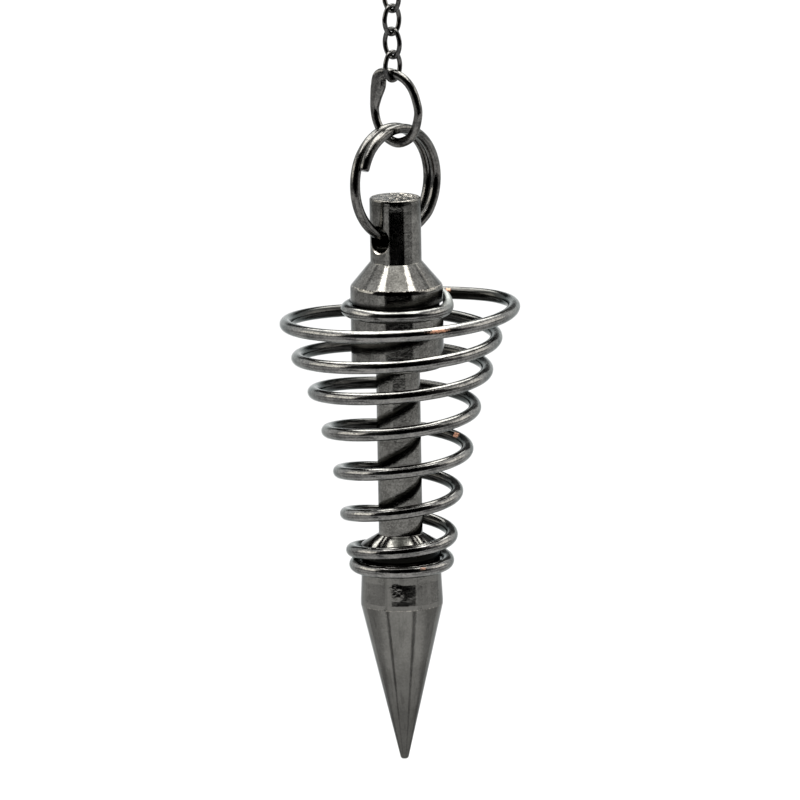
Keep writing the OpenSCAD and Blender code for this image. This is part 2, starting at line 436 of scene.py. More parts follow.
class Signal:
    """A socket of a shader tree. Sums on it add Math nodes."""

    def __init__(self, tree: "Tree", socket: bpy.types.NodeSocket) -> None:
        """Wraps an output socket.

        Args:
            tree: The tree that it belongs to.
            socket: The output socket.
        """
        self.tree = tree
        self.socket = socket

    def _sum(self, operation: str, *values: Value, clamp: bool = False) -> "Signal":
        """Adds one Math node on the values given, of which this signal is one."""
        settings = {"operation": operation, "use_clamp": clamp}
        return self.tree.node("ShaderNodeMath", settings, dict(enumerate(values)))

    def __add__(self, other: Value) -> "Signal":
        """self + other."""
        return self._sum("ADD", self, other)

    __radd__ = __add__

    def __sub__(self, other: Value) -> "Signal":
        """self - other."""
        return self._sum("SUBTRACT", self, other)

    def __rsub__(self, other: Value) -> "Signal":
        """other - self."""
        return self._sum("SUBTRACT", other, self)

    def __mul__(self, other: Value) -> "Signal":
        """self * other."""
        return self._sum("MULTIPLY", self, other)

    __rmul__ = __mul__

    def __truediv__(self, other: Value) -> "Signal":
        """self / other."""
        return self._sum("DIVIDE", self, other)

    def __rtruediv__(self, other: Value) -> "Signal":
        """other / self."""
        return self._sum("DIVIDE", other, self)

    def __pow__(self, other: Value) -> "Signal":
        """self to the power of other."""
        return self._sum("POWER", self, other)

    def __rpow__(self, other: Value) -> "Signal":
        """other to the power of self."""
        return self._sum("POWER", other, self)

    def __abs__(self) -> "Signal":
        """Size of this signal without its sign."""
        return self._sum("ABSOLUTE", self)

    def clamped(self) -> "Signal":
        """This signal held between 0 and 1."""
        return self._sum("ADD", self, 0.0, clamp=True)

    def step(self, low: float, high: float) -> "Signal":
        """Rises smoothly from 0 at low to 1 at high.

        Args:
            low: Where the rise starts.
            high: Where it ends.

        Returns:
            The eased signal.
        """
        settings = {"interpolation_type": "SMOOTHSTEP"}
        return self.tree.node("ShaderNodeMapRange", settings,
                              {"Value": self, "From Min": low, "From Max": high})


class Tree:
    """A material's shader tree."""

    MIX_SHARE, MIX_FIRST, MIX_SECOND = 0, 6, 7  # inputs of a Mix node for colours
    MIX_COLOUR = 2                              # its output

    def __init__(self, name: str) -> None:
        """Makes a material with an empty tree.

        Args:
            name: Name of the material.
        """
        self.material = bpy.data.materials.new(name)
        self.material.use_nodes = True
        self.nodes = self.material.node_tree.nodes
        self.links = self.material.node_tree.links
        self.nodes.clear()

    def node(self, kind: str, settings: Optional[Mapping[str, Any]] = None,
             sockets: Optional[Mapping[Union[str, int], Value]] = None,
             output: Union[str, int] = 0) -> Signal:
        """Adds one node.

        Args:
            kind: The node's type.
            settings: Its settings, which are set before its sockets.
            sockets: Values or signals for its input sockets, by name or number.
            output: The output to hand back.

        Returns:
            The node's output.
        """
        node = self.nodes.new(kind)
        for key, value in (settings or {}).items():
            setattr(node, key, value)
        for key, value in (sockets or {}).items():
            if isinstance(value, Signal):
                self.links.new(value.socket, node.inputs[key])
            else:
                node.inputs[key].default_value = value
        return Signal(self, node.outputs[output])

    def object_place(self) -> Signal:
        """Place on the piece, in metres."""
        return self.node("ShaderNodeTexCoord", output="Object")

    def attribute(self, name: str, output: str) -> Signal:
        """One of the piece's own attributes.

        Args:
            name: The attribute.
            output: "Vector" or "Fac".

        Returns:
            Its value.
        """
        return self.node("ShaderNodeAttribute", {"attribute_name": name}, output=output)

    def scaled(self, place: Signal, scale: Sequence[float]) -> Signal:
        """A place with each axis scaled by itself."""
        return self.node("ShaderNodeMapping", {"vector_type": "POINT"},
                         {"Vector": place, "Scale": tuple(scale)})

    def noise(self, place: Signal, noise: Noise) -> Signal:
        """Reads a cloudy noise.

        Args:
            place: Where it is read.
            noise: The noise.

        Returns:
            Its value from 0 to 1.
        """
        return self.node("ShaderNodeTexNoise", {"noise_dimensions": "3D"},
                         {"Vector": place, "Scale": noise.scale, "Detail": noise.detail,
                          "Roughness": noise.rough}, "Fac")

    def tint(self, share: Value, first: Union[Signal, Colour],
             second: Union[Signal, Colour]) -> Signal:
        """Mixes two colours.

        Args:
            share: 0 for the first colour, 1 for the second one.
            first: A colour.
            second: Another colour.

        Returns:
            The mixed colour.
        """
        sockets: dict[Union[str, int], Any] = {self.MIX_SHARE: share}
        for key, colour in ((self.MIX_FIRST, first), (self.MIX_SECOND, second)):
            sockets[key] = colour if isinstance(colour, Signal) else (*colour, 1.0)
        return self.node("ShaderNodeMix", {"data_type": "RGBA", "clamp_factor": True},
                         sockets, self.MIX_COLOUR)

    def relief(self, height: Signal, depth: float) -> Signal:
        """Normal of a surface with a shallow relief.

        Args:
            height: The relief.
            depth: Depth of a relief of 1.

        Returns:
            The normal.
        """
        return self.node("ShaderNodeBump", {}, {"Height": height, "Distance": depth,
                                                "Strength": 1.0}, "Normal")

    def metal(self, colour: Signal, rough: Signal, rim: Colour,
              normal: Signal) -> bpy.types.Material:
        """Ends the tree with a metal.

        Args:
            colour: Its colour seen straight on.
            rough: Its roughness.
            rim: Colour that it takes on where it is seen edge on.
            normal: Its normal.

        Returns:
            The material.
        """
        return self.finish(self.node(
            "ShaderNodeBsdfPrincipled", {},
            {"Base Color": colour, "Roughness": rough, "Metallic": 1.0,
             "Specular Tint": (*rim, 1.0), "Normal": normal}, "BSDF"))

    def finish(self, surface: Signal) -> bpy.types.Material:
        """Leads a shader to the output and hands back the material."""
        output = self.nodes.new("ShaderNodeOutputMaterial")
        self.links.new(surface.socket, output.inputs["Surface"])
        return self.material


def mottled(cloud: Signal, grain: Signal) -> Signal:
    """Clouds that are broken up by a fine grain."""
    return 0.45 * cloud + 0.55 * grain


@dataclass(frozen=True)
class PlatedWire:
    """Drawn wire with a dark nickel plating: soft draw lines, fine grain, rubs and
    painted shade.

    Attributes:
        name: Name of the material.
        dark: Colour of the dark clouds in the plating.
        light: Colour of the light ones.
        copper: Colour of the metal under the plating, seen where it is rubbed.
        frost: Colour of the plating where it is dull.
        painted_shade: Colour of the painted shade on the wire.
        rim: Colour that the metal takes on where it is seen edge on.
        cloud: Clouds of colour.
        grain: Fine grain.
        wave: Soft unevenness.
        draw: Draw lines, by their spacing across the wire.
        draw_along: Scale of the draw lines along the wire.
        mottle: Values of the mottled noise that are fully dark and fully light.
        rubbed: Wear at which the copper starts to show, and shows fully.
        smoothest: Lowest roughness.
        spread: How much rougher it gets in places.
        dull_rough: How much rougher it is where it is dull.
        rub_rough: How much rougher it is where it is rubbed.
        depth: Depth of the relief.
    """

    name: str
    dark: Colour = (0.09, 0.09, 0.088)
    light: Colour = (0.245, 0.24, 0.23)
    copper: Colour = (0.62, 0.33, 0.22)
    frost: Colour = (0.27, 0.285, 0.28)
    painted_shade: Colour = (0.010, 0.010, 0.009)
    rim: Colour = (0.60, 0.63, 0.63)
    cloud: Noise = Noise(500.0, 5.0, 0.62)
    grain: Noise = Noise(4400.0, 4.0, 0.7)
    wave: Noise = Noise(1300.0)
    draw: Noise = Noise(2400.0, 3.0, 0.6)
    draw_along: float = 0.04
    mottle: tuple[float, float] = (0.38, 0.62)
    rubbed: tuple[float, float] = (0.40, 0.90)
    smoothest: float = 0.05
    spread: float = 0.10
    dull_rough: float = 0.42
    rub_rough: float = 0.40
    depth: float = 0.006 * MM

    def material(self) -> bpy.types.Material:
        """Builds the shader tree.

        The mottled plating is frosted, darkened by painted shade and rubbed through
        where the piece's own attributes say so, and clouds and grain break up the edge
        of a rubbed spot.

        Returns:
            The material.
        """
        tree = Tree(self.name)
        place = tree.object_place()
        cloud, grain, wave = (tree.noise(place, noise)
                              for noise in (self.cloud, self.grain, self.wave))
        lay = tree.scaled(tree.attribute(LAY, "Vector"), (self.draw_along, 1.0, 1.0))
        draw = tree.noise(lay, self.draw)
        wear, dull, painted_shade = (tree.attribute(name, "Fac") for name in (WEAR, DULL, PAINTED_SHADE))
        ragged = wear * (1.2 + 2.4 * (grain - 0.5) + 1.4 * (cloud - 0.5))
        rubbed = ragged.step(*self.rubbed)
        mottle = mottled(cloud, grain).step(*self.mottle)
        plating = tree.tint(mottle, self.dark, self.light)
        frosted = tree.tint(0.8 * dull, plating, self.frost)
        # Painted shade where the piece's painted-shade attribute says so.
        darkened = tree.tint(painted_shade * (0.55 + 0.55 * grain), frosted, self.painted_shade)
        colour = tree.tint(rubbed, darkened, self.copper)
        rough = (self.smoothest + self.spread * cloud.step(*ROUGHER) + 0.05 * grain
                 + self.dull_rough * dull + self.rub_rough * rubbed)
        height = 1.7 * grain + 0.12 * draw + 1.2 * wave
        return tree.metal(colour, rough, self.rim, tree.relief(height, self.depth))


@dataclass(frozen=True)
class WornEdges:
    """Where handling has worn the turned body, where it has tarnished, and where shade
    and a highlight are painted on it.

    Attributes:
        bands: Height and half width of each worn edge.
        tarnish_and_shade: Height, half width and strength of each zone of tarnish and
        painted shade.
        even: Height below which the plating is calm and even.
        dent: Middle of the dented patch on the barrel's front.
        dent_size: Radius of that patch.
        marks: Height of the deeper turning marks.
        marks_width: Half width of their zone.
        face: Height of the rough top face.
        hole: Height of the cross hole.
        yaw: Direction of the cross hole.
        lip: Radius, about the hole's line, of the painted highlight on its lower lip.
        lip_width: Half width of that highlight.
        lip_highlight_strength: How strong the painted highlight is.
        band_strength: How worn the edges are.
        plateau: Peak of a darker zone's slope, which is cut off at 1.
    """

    bands: Table
    tarnish_and_shade: Table
    even: float
    dent: tuple[float, float, float]
    dent_size: float
    marks: float
    marks_width: float
    face: float
    hole: float
    yaw: float
    lip: float
    lip_width: float
    lip_highlight_strength: float = 1.2
    band_strength: float = 0.8
    plateau: float = 1.6

    def share(self, tree: Tree, place: Signal, height: Signal) -> Signal:
        """How worn each place is, and where the hole's lower lip gets a painted
        highlight.

        A band gives 1 - |z - middle| / half width, and the lip's painted highlight
        gives the same with the distance from the hole's own line, below its middle
        alone.

        Args:
            tree: The shader tree.
            place: Place on the piece.
            height: Its height.

        Returns:
            Wear and painted highlight from 0 to 1.
        """
        turn = (0, 0, -math.radians(self.yaw))
        turned = tree.node("ShaderNodeMapping", {"vector_type": "POINT"},
                           {"Vector": place, "Rotation": turn})
        beside = tree.node("ShaderNodeSeparateXYZ", {}, {0: turned}, "Y")
        above = height - self.hole
        away = (beside * beside + above * above) ** 0.5
        lip = (1 - abs(away - self.lip) / self.lip_width).clamped()
        # Painted highlight on the hole's lower lip.
        lip_highlight = (self.lip_highlight_strength * lip
                   * (0 - above).step(0.2 * self.lip, 0.9 * self.lip))
        bands = [self.band_strength * (1 - abs(height - middle) / half).clamped()
                 for middle, half in self.bands]
        return sum(bands, lip_highlight).clamped()

    def tarnished_and_shaded(self, height: Signal) -> Signal:
        """How dark each height is, from tarnish and painted shade.

        A zone gives strength * (plateau - plateau * |z - middle| / half width), with
        the bracket held between 0 and 1.

        Args:
            height: The height.

        Returns:
            Darkening from 0 to 1.
        """
        first, *others = (
            strength * (self.plateau
                        - self.plateau * abs(height - middle) / half).clamped()
            for middle, half, strength in self.tarnish_and_shade)
        return sum(others, first).clamped()


@dataclass(frozen=True)
class TurnedMetal:
    """Turned and plated metal: mottled plating, lathe rings, drag marks, worn edges.

    Attributes:
        name: Name of the material.
        dark: Colour of the dark clouds.
        light: Colour of the light ones.
        bare: Colour of the metal where the plating is worn off, and of the painted
            highlight on the hole's lower lip.
        tarnish_and_shade: Colour of the tarnish and of the painted shade.
        rim: Colour that the metal takes on where it is seen edge on.
        cloud: Clouds of colour.
        grain: Fine grain.
        wave: Soft unevenness.
        ripple: Bumps of the rough top face.
        dents: Bumps of the dented patch.
        rings: Lathe rings, by their spacing in height.
        rings_round: Scale of the lathe rings round the body.
        drags: Drag marks, by their spacing round the body.
        drags_up: Scale of the drag marks in height.
        mottle: Values of the mottled noise that are fully dark and fully light.
        ringed: Values of the lathe rings where a ring starts, and is full.
        streaked: Values of the drag marks where a mark starts, and is full.
        pitted: Values of the ripple that are fully pitted, and not at all.
        scraped: Values of the ripple where the metal starts to be bare, and is.
        rubbed: Wear at which the metal starts to be bare, and is.
        calm_fade: Height over which the plating turns calm.
        face_depths: Depths below the top face where its look starts and is full.
        smoothest: Lowest roughness.
        spread: How much rougher it gets in places.
        depth: Depth of the relief.
    """

    name: str
    dark: Colour = (0.085, 0.083, 0.077)
    light: Colour = (0.207, 0.203, 0.190)
    bare: Colour = (0.44, 0.41, 0.37)
    tarnish_and_shade: Colour = (0.004, 0.004, 0.0035)
    rim: Colour = (0.60, 0.615, 0.62)
    cloud: Noise = Noise(420.0, 5.0, 0.62)
    grain: Noise = Noise(4600.0, 4.0, 0.7)
    wave: Noise = Noise(700.0)
    ripple: Noise = Noise(1800.0)
    dents: Noise = Noise(3200.0)
    rings: Noise = Noise(2600.0, 3.0, 0.6)
    rings_round: float = 0.03
    drags: Noise = Noise(1100.0, 4.0, 0.6)
    drags_up: float = 0.05
    mottle: tuple[float, float] = (0.40, 0.60)
    ringed: tuple[float, float] = (0.52, 0.62)
    streaked: tuple[float, float] = (0.56, 0.64)
    pitted: tuple[float, float] = (0.38, 0.48)
    scraped: tuple[float, float] = (0.50, 0.64)
    rubbed: tuple[float, float] = (0.60, 0.95)
    calm_fade: float = 1.5 * MM
    face_depths: tuple[float, float] = (0.03 * MM, 0.01 * MM)
    smoothest: float = 0.035
    spread: float = 0.05
    depth: float = 0.005 * MM

    def material(self, worn: WornEdges) -> bpy.types.Material:
        """Builds the shader tree.

        The mottled plating gets its drag marks and rings, then the tarnish, the painted
        shade and the pits of the rough top face, and last the bare metal where it is
        rubbed or scraped, and the painted highlight on the hole's lower lip.

        Args:
            worn: Where the body is worn.

        Returns:
            The material.
        """
        tree = Tree(self.name)
        place = tree.object_place()
        upright = tree.node("ShaderNodeSeparateXYZ", {}, {0: place}, "Z")
        cloud, grain, wave, ripple, dents = (
            tree.noise(place, noise)
            for noise in (self.cloud, self.grain, self.wave, self.ripple, self.dents))
        round_body = (self.rings_round, self.rings_round, 1.0)
        rings = tree.noise(tree.scaled(place, round_body), self.rings)
        drags = tree.noise(tree.scaled(place, (1.0, 1.0, self.drags_up)), self.drags)
        # Zones, each from 0 to 1.
        calm = (worn.even - upright).step(0.0, self.calm_fade)
        face = upright.step(*(worn.face - depth for depth in self.face_depths))
        marked = (1 - abs(upright - worn.marks) / worn.marks_width).clamped()
        away = tree.node("ShaderNodeVectorMath", {"operation": "DISTANCE"},
                         {0: place, 1: worn.dent}, "Value")
        dented = (1 - away / worn.dent_size).step(0.0, 0.5)
        # Worn edge bands, and the painted highlight on the hole's lower lip.
        wear = worn.share(tree, place, upright)
        rubbed = (wear + 2.2 * (grain - 0.5)).step(*self.rubbed)
        # Colour.
        mottle = mottled(cloud, grain).step(*self.mottle)
        plating = tree.tint(mottle * (1 - 0.65 * calm) + 0.33 * calm,
                            self.dark, self.light)
        ringed = rings.step(*self.ringed) * (1 - calm)
        marks = (0.5 * drags.step(*self.streaked) + 0.4 * ringed).clamped()
        streaked = tree.tint(marks, plating, self.dark)
        pits = face * (1 - ripple.step(*self.pitted))
        # Tarnish, painted shade at the seats and towards the tip, and the dark pits of
        # the top face.
        darkened = tree.tint((worn.tarnished_and_shaded(upright) + 0.85 * pits).clamped(), streaked,
                           self.tarnish_and_shade)
        scraped = 0.7 * face * ripple.step(*self.scraped)
        colour = tree.tint((rubbed * (1 - face) + scraped).clamped(), darkened, self.bare)
        # Roughness and relief.
        rough = (self.smoothest + self.spread * cloud.step(*ROUGHER) + 0.06 * grain
                 + 0.08 * face + 0.20 * rubbed)
        height = ((0.9 - 0.5 * calm) * grain
                  + (1.0 + 26.0 * face + 4.0 * marked) * ripple
                  + 4.5 * dented * dents + 1.6 * wave + (0.3 + 3.5 * marked) * rings
                  + 0.3 * drags)
        return tree.metal(colour, rough, self.rim, tree.relief(height, self.depth))


@dataclass(frozen=True)
class PaleFloor:
    """Smooth pale floor.

    Attributes:
        name: Name of the material.
        shade: Colour of its lighter part.
        cloudy: Colour of its faint clouds.
        cloud: The clouds.
        rough: Its roughness.
    """

    name: str = "pale_floor"
    shade: Colour = (0.83, 0.83, 0.83)
    cloudy: Colour = (0.80, 0.80, 0.80)
    cloud: Noise = Noise(6.0)
    rough: float = 0.8

    def material(self) -> bpy.types.Material:
        """Builds the shader tree.

        Returns:
            The material.
        """
        tree = Tree(self.name)
        cloud = tree.noise(tree.object_place(), self.cloud)
        colour = tree.tint(cloud, self.shade, self.cloudy)
        return tree.finish(tree.node("ShaderNodeBsdfPrincipled", {},
                                     {"Base Color": colour, "Roughness": self.rough},
                                     "BSDF"))


class Body(Enum):
    """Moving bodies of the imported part."""

    CHAIN = "chain"
    PEAR = "pear"
    RING = "ring"
    WEIGHT = "weight"


class Slot(Enum):
    """Material slots of the part's record."""

    CHAIN = "chain"
    RINGS = "rings"
    WEIGHT = "weight"
    SPIRAL = "spiral"


@dataclass(frozen=True)
class Hang:
    """Heights along the hanging line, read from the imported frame.

    Attributes:
        last_link: Middle of the wire at the foot of the last link.
        pear_low: Middle of the pear ring's wire at its foot.
        hole: Middle of the cross hole.
        neck_top: Top face of the neck.
        tip: End of the point.
    """

    last_link: float
    pear_low: float
    hole: float
    neck_top: float
    tip: float

    @classmethod
    def read(cls, frame: Mapping[str, Any]) -> "Hang":
        """Takes the heights from the joints and from the weight's box.


        Returns:
            The heights.
        """
        pivots = {joint["name"]: joint["pos_m"][2] for joint in frame["joints"]}
        low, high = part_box("weight_body")
        return cls(last_link=pivots["pear_swing"], pear_low=pivots["ring_swing"],
                   hole=pivots["weight_swing"], neck_top=high[2], tip=low[2])


def dress(piece: bpy.types.Object, node: str, body: Body,
          material: bpy.types.Material) -> bpy.types.Object:
    """Puts a finished piece in the place of its CAD node.

    Args:
        piece: The piece.
        node: The CAD node that it stands for.
        body: The body that it moves with.
        material: Its material.

    Returns:
        The piece.
    """
    piece.data.materials.append(material)
    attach(piece, body.value)
    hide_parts(node)
    return piece


@dataclass
class CableChain:
    """Short length of oval-link chain.

    Attributes:
        count: Number of links.
        length: Outer length of a link.
        width: Outer width of a link.
        wire: Thickness of its wire.
        end_radius: Radius of the wire's middle line at the round ends.
        play: Free play between two links.
        lean: Turn of the links about the vertical, left and right by turns.
        finish: Finish of the wire.
        steps: Stations round a link, in fours.
        sides: Sides of the wire.
    """

    count: int = 4
    length: float = 3.7 * MM
    width: float = 2.8 * MM
    wire: float = 0.54 * MM
    end_radius: float = 0.9 * MM
    play: float = 0.03 * MM
    lean: float = 45.0
    finish: PlatedWire = PlatedWire("chain_plating", dark=(0.045, 0.045, 0.045),
                                    light=(0.13, 0.126, 0.12), smoothest=0.08)
    steps: int = 96
    sides: int = 16

    def link_path(self) -> np.ndarray:
        """Middle line of a link in the XZ plane.

        Two flat side arcs and two round end arcs meet with a common tangent. The side
        arcs' radius follows from the link's half length a, half width b and end
        radius e: (b^2 - e^2 + (a - e)^2) / (2 (b - e)).

        Returns:
            The path, steps x 3.
        """
        a, b = (self.length - self.wire) / 2, (self.width - self.wire) / 2
        e = self.end_radius
        side = (b * b - e * e + (a - e) ** 2) / (2 * (b - e))
        swing = math.atan2(a - e, side - b)
        quarter = self.steps // 4
        g = swing * np.linspace(-1, 1, quarter, endpoint=False)
        h = swing + (math.pi - 2 * swing) * np.linspace(0, 1, quarter, endpoint=False)
        x = np.concatenate([b - side + side * np.cos(g), e * np.cos(h)])
        z = np.concatenate([side * np.sin(g), a - e + e * np.sin(h)])
        half = np.stack([x, np.zeros_like(x), z], axis=-1)
        return np.concatenate([half, -half])

    def build(self, hang: Hang) -> list[bpy.types.Object]:
        """Builds the links, the first one uppermost.

        Args:
            hang: Heights along the hanging line.

        Returns:
            The links.
        """
        material = self.finish.material()
        path = self.link_path()
        same = np.full(len(path), self.wire)
        outline = rounded_outline(same, same, np.zeros(len(path)), self.sides)
        pitch = self.length - 2 * self.wire - self.play
        last_middle = hang.last_link + (self.length - self.wire) / 2
        links = []
        for k in range(1, self.count + 1):
            link = wire_skin(f"chain_link_{k}_wire", path, outline, axis=(0, 1, 0),
                             closed=True).make()
            place_points(link, self.lean if k % 2 == 0 else -self.lean,
                         np.array([0, 0, last_middle + (self.count - k) * pitch]))
            links.append(dress(link, f"chain_link_{k}", Body.CHAIN,
                               material))
        return links


@dataclass
class PearRing:
    """Pear-shaped ring of round wire, hammered flat at its upper left.

    Attributes:
        height: Height of the wire's middle line.
        width: Width of the wire's middle line.
        wire: Thickness of the wire.
        flat: Greatest width of the hammered part.
        yaw: Turn about the vertical.
        shape: Rows of place, across as a share of the width, up as a share of the
            height, share of the way to the hammered width, and squareness.
        inner: Share of the squareness that the ring's inner side keeps.
        finish: Finish of the wire.
        steps: Stations round the ring.
        sides: Sides of the wire.
    """

    height: float = 7.75 * MM
    width: float = 5.5 * MM
    wire: float = 0.95 * MM
    flat: float = 1.75 * MM
    yaw: float = -30.0
    shape: Table = (
        (0, 0.10, 0, 0.18, 0),
        (1, 0.425, 0.12, 0.12, 0),
        (2, 0.57, 0.41, 0, 0),
        (3, 0.53, 0.63, 0, 0),
        (4, 0.41, 0.82, 0, 0),
        (5, 0.22, 0.945, 0.05, 0),
        (6, -0.03, 1, 0.2, 0.3),
        (7, -0.275, 0.955, 0.8, 1),
        (8, -0.335, 0.80, 1, 1),
        (9, -0.395, 0.63, 0.45, 0.8),
        (10, -0.43, 0.45, 0.02, 0.2),
        (11, -0.37, 0.255, 0, 0),
        (12, -0.205, 0.085, 0.12, 0),
    )
    inner: float = 0.15
    finish: PlatedWire = PlatedWire("pear_ring_plating", dark=(0.055, 0.055, 0.054),
                                    light=(0.18, 0.175, 0.166))
    steps: int = 208
    sides: int = 28

    def build(self, hang: Hang) -> list[bpy.types.Object]:
        """Builds the ring on its middle line.

        Args:
            hang: Heights along the hanging line.

        Returns:
            The ring.
        """
        rows = looped(self.shape, len(self.shape))
        at = len(self.shape) * np.arange(self.steps) / self.steps
        path = np.stack([self.width * smooth(rows, 1, at), np.zeros(self.steps),
                         hang.pear_low + self.height * smooth(rows, 2, at)], axis=-1)
        wide = self.wire + (self.flat - self.wire) * np.maximum(0, smooth(rows, 3, at))
        outline = rounded_outline(wide, np.full(self.steps, self.wire),
                                  smooth(rows, 4, at), self.sides, self.inner)
        ring = wire_skin("pear_ring_wire", path, outline, axis=(0, 1, 0),
                         closed=True).make()
        place_points(ring, self.yaw, np.zeros(3))
        return [dress(ring, "pear_ring", Body.PEAR,
                      self.finish.material())]


@dataclass
class SplitRing:
    """Spring ring, single through the neck and double above it, with two cut ends.

    Attributes:
        diameter: Diameter of the wire's middle line.
        wire: Thickness of the wire.
        play: Gap between the two layers.
        yaw: Turn of its plane about the vertical.
        neck_radius: Radius of the neck that it passes through.
        hole_radius: Radius of the cross hole that rests on it.
        rest_play: Free play of the hole's mouths on the ring.
        layers: Rows of the angle from the lowest point and the sideways place as a
            share of half the two layers' distance.
        square: How rectangular the wire is, from 0 to 1.
        end_trims: Thickness of the first two stations from each cut end, as a share.
        finish: Finish of the wire.
        steps: Stations from end to end.
        sides: Sides of the wire.
    """

    diameter: float = 12.2 * MM
    wire: float = 1.1 * MM
    play: float = 0.03 * MM
    yaw: float = 47.0
    neck_radius: float = 2.85 * MM
    hole_radius: float = 1.35 * MM
    rest_play: float = 0.03 * MM
    layers: Table = (
        (-320, -1), (-160, -1), (-125, -0.92), (-90, -0.5), (-25, 0),
        (22, 0), (50, 0.95), (70, 1), (225, 1), (249, 1.3),
    )
    square: float = 0.18
    end_trims: tuple[float, float] = (0.80, 0.95)
    finish: PlatedWire = PlatedWire("split_ring_plating", dark=(0.045, 0.045, 0.044),
                                    light=(0.16, 0.155, 0.147))
    steps: int = 400
    sides: int = 24

    def build(self, hang: Hang) -> list[bpy.types.Object]:
        """Builds the ring from cut end to cut end.

        Args:
            hang: Heights along the hanging line.

        Returns:
            The ring.
        """
        rows = np.asarray(self.layers, float)
        degrees = np.linspace(rows[0, 0], rows[-1, 0], self.steps)
        g = np.radians(degrees)
        radius = self.diameter / 2
        inner = radius - self.wire / 2
        middle = (hang.hole + math.sqrt(inner**2 - self.neck_radius**2)
                  + self.hole_radius - self.rest_play)
        layer = np.interp(degrees, rows[:, 0], rows[:, 1])
        aside = -(self.wire + self.play) / 2 * layer
        path = np.stack([radius * np.sin(g), aside, middle - radius * np.cos(g)],
                        axis=-1)
        wide = self.wire * trimmed_ends(np.ones(self.steps), self.end_trims)
        square = np.full(self.steps, self.square)
        outline = rounded_outline(wide, wide, square, self.sides)
        ring = wire_skin("split_ring_wire", path, outline, axis=(0, 1, 0),
                         closed=False).make()
        place_points(ring, self.yaw, np.zeros(3))
        return [dress(ring, "split_ring", Body.RING,
                      self.finish.material())]


@dataclass(frozen=True)
class RoughCut:
    """Relief of the neck's top face, cut off roughly and more so on the right.

    Attributes:
        waves: Number of waves that are added up.
        turn: Turn from one wave's heading to the next one's, in radians.
        length: Length of the first wave.
        longer: How much longer each next one is.
        shift: Shift of wave k in radians, for each k squared.
        low: Height of one wave on the left.
        high: What is added to it on the right.
        rise_from: Place across where it starts to rise.
        rise_width: Width over which it rises.
        rim: Width over which the relief fades out at the rim.
    """

    waves: int = 12
    turn: float = 2.4
    length: float = 0.45 * MM
    longer: float = 0.05 * MM
    shift: float = 1.7
    low: float = 0.0020 * MM
    high: float = 0.0125 * MM
    rise_from: float = -0.9 * MM
    rise_width: float = 1.2 * MM
    rim: float = 0.3 * MM

    def height(self, x: np.ndarray, y: np.ndarray, radius: float) -> np.ndarray:
        """Height of the relief.

        Each wave adds sin(2 pi s / length + shift), where s is the place along its
        heading. The sum is scaled from left to right, and fades out at the rim.

        Args:
            x: Places across.
            y: Places from front to back.
            radius: Radius of the face.

        Returns:
            The height to add.
        """
        total = np.zeros_like(x)
        for k in range(self.waves):
            s = x * math.cos(self.turn * k) + y * math.sin(self.turn * k)
            phase = 2 * np.pi * s / (self.length + self.longer * k) + self.shift * k * k
            total += np.sin(phase)
        rise = np.clip((x - self.rise_from) / self.rise_width, 0, 1)
        inside = np.clip((radius - np.hypot(x, y)) / self.rim, 0, 1)
        return total * (self.low + self.high * rise) * inside


@dataclass(frozen=True)
class Levels:
    """Heights of the turned weight's faces, from the top down.

    Attributes:
        shoulder: Foot of the neck.
        collar_top: Upper edge of the collar.
        collar_low: Lower edge of the collar.
        rod_low: Foot of the rod.
        barrel_top: Upper edge of the barrel.
        barrel_low: Lower edge of the barrel.
    """

    shoulder: float
    collar_top: float
    collar_low: float
    rod_low: float
    barrel_top: float
    barrel_low: float


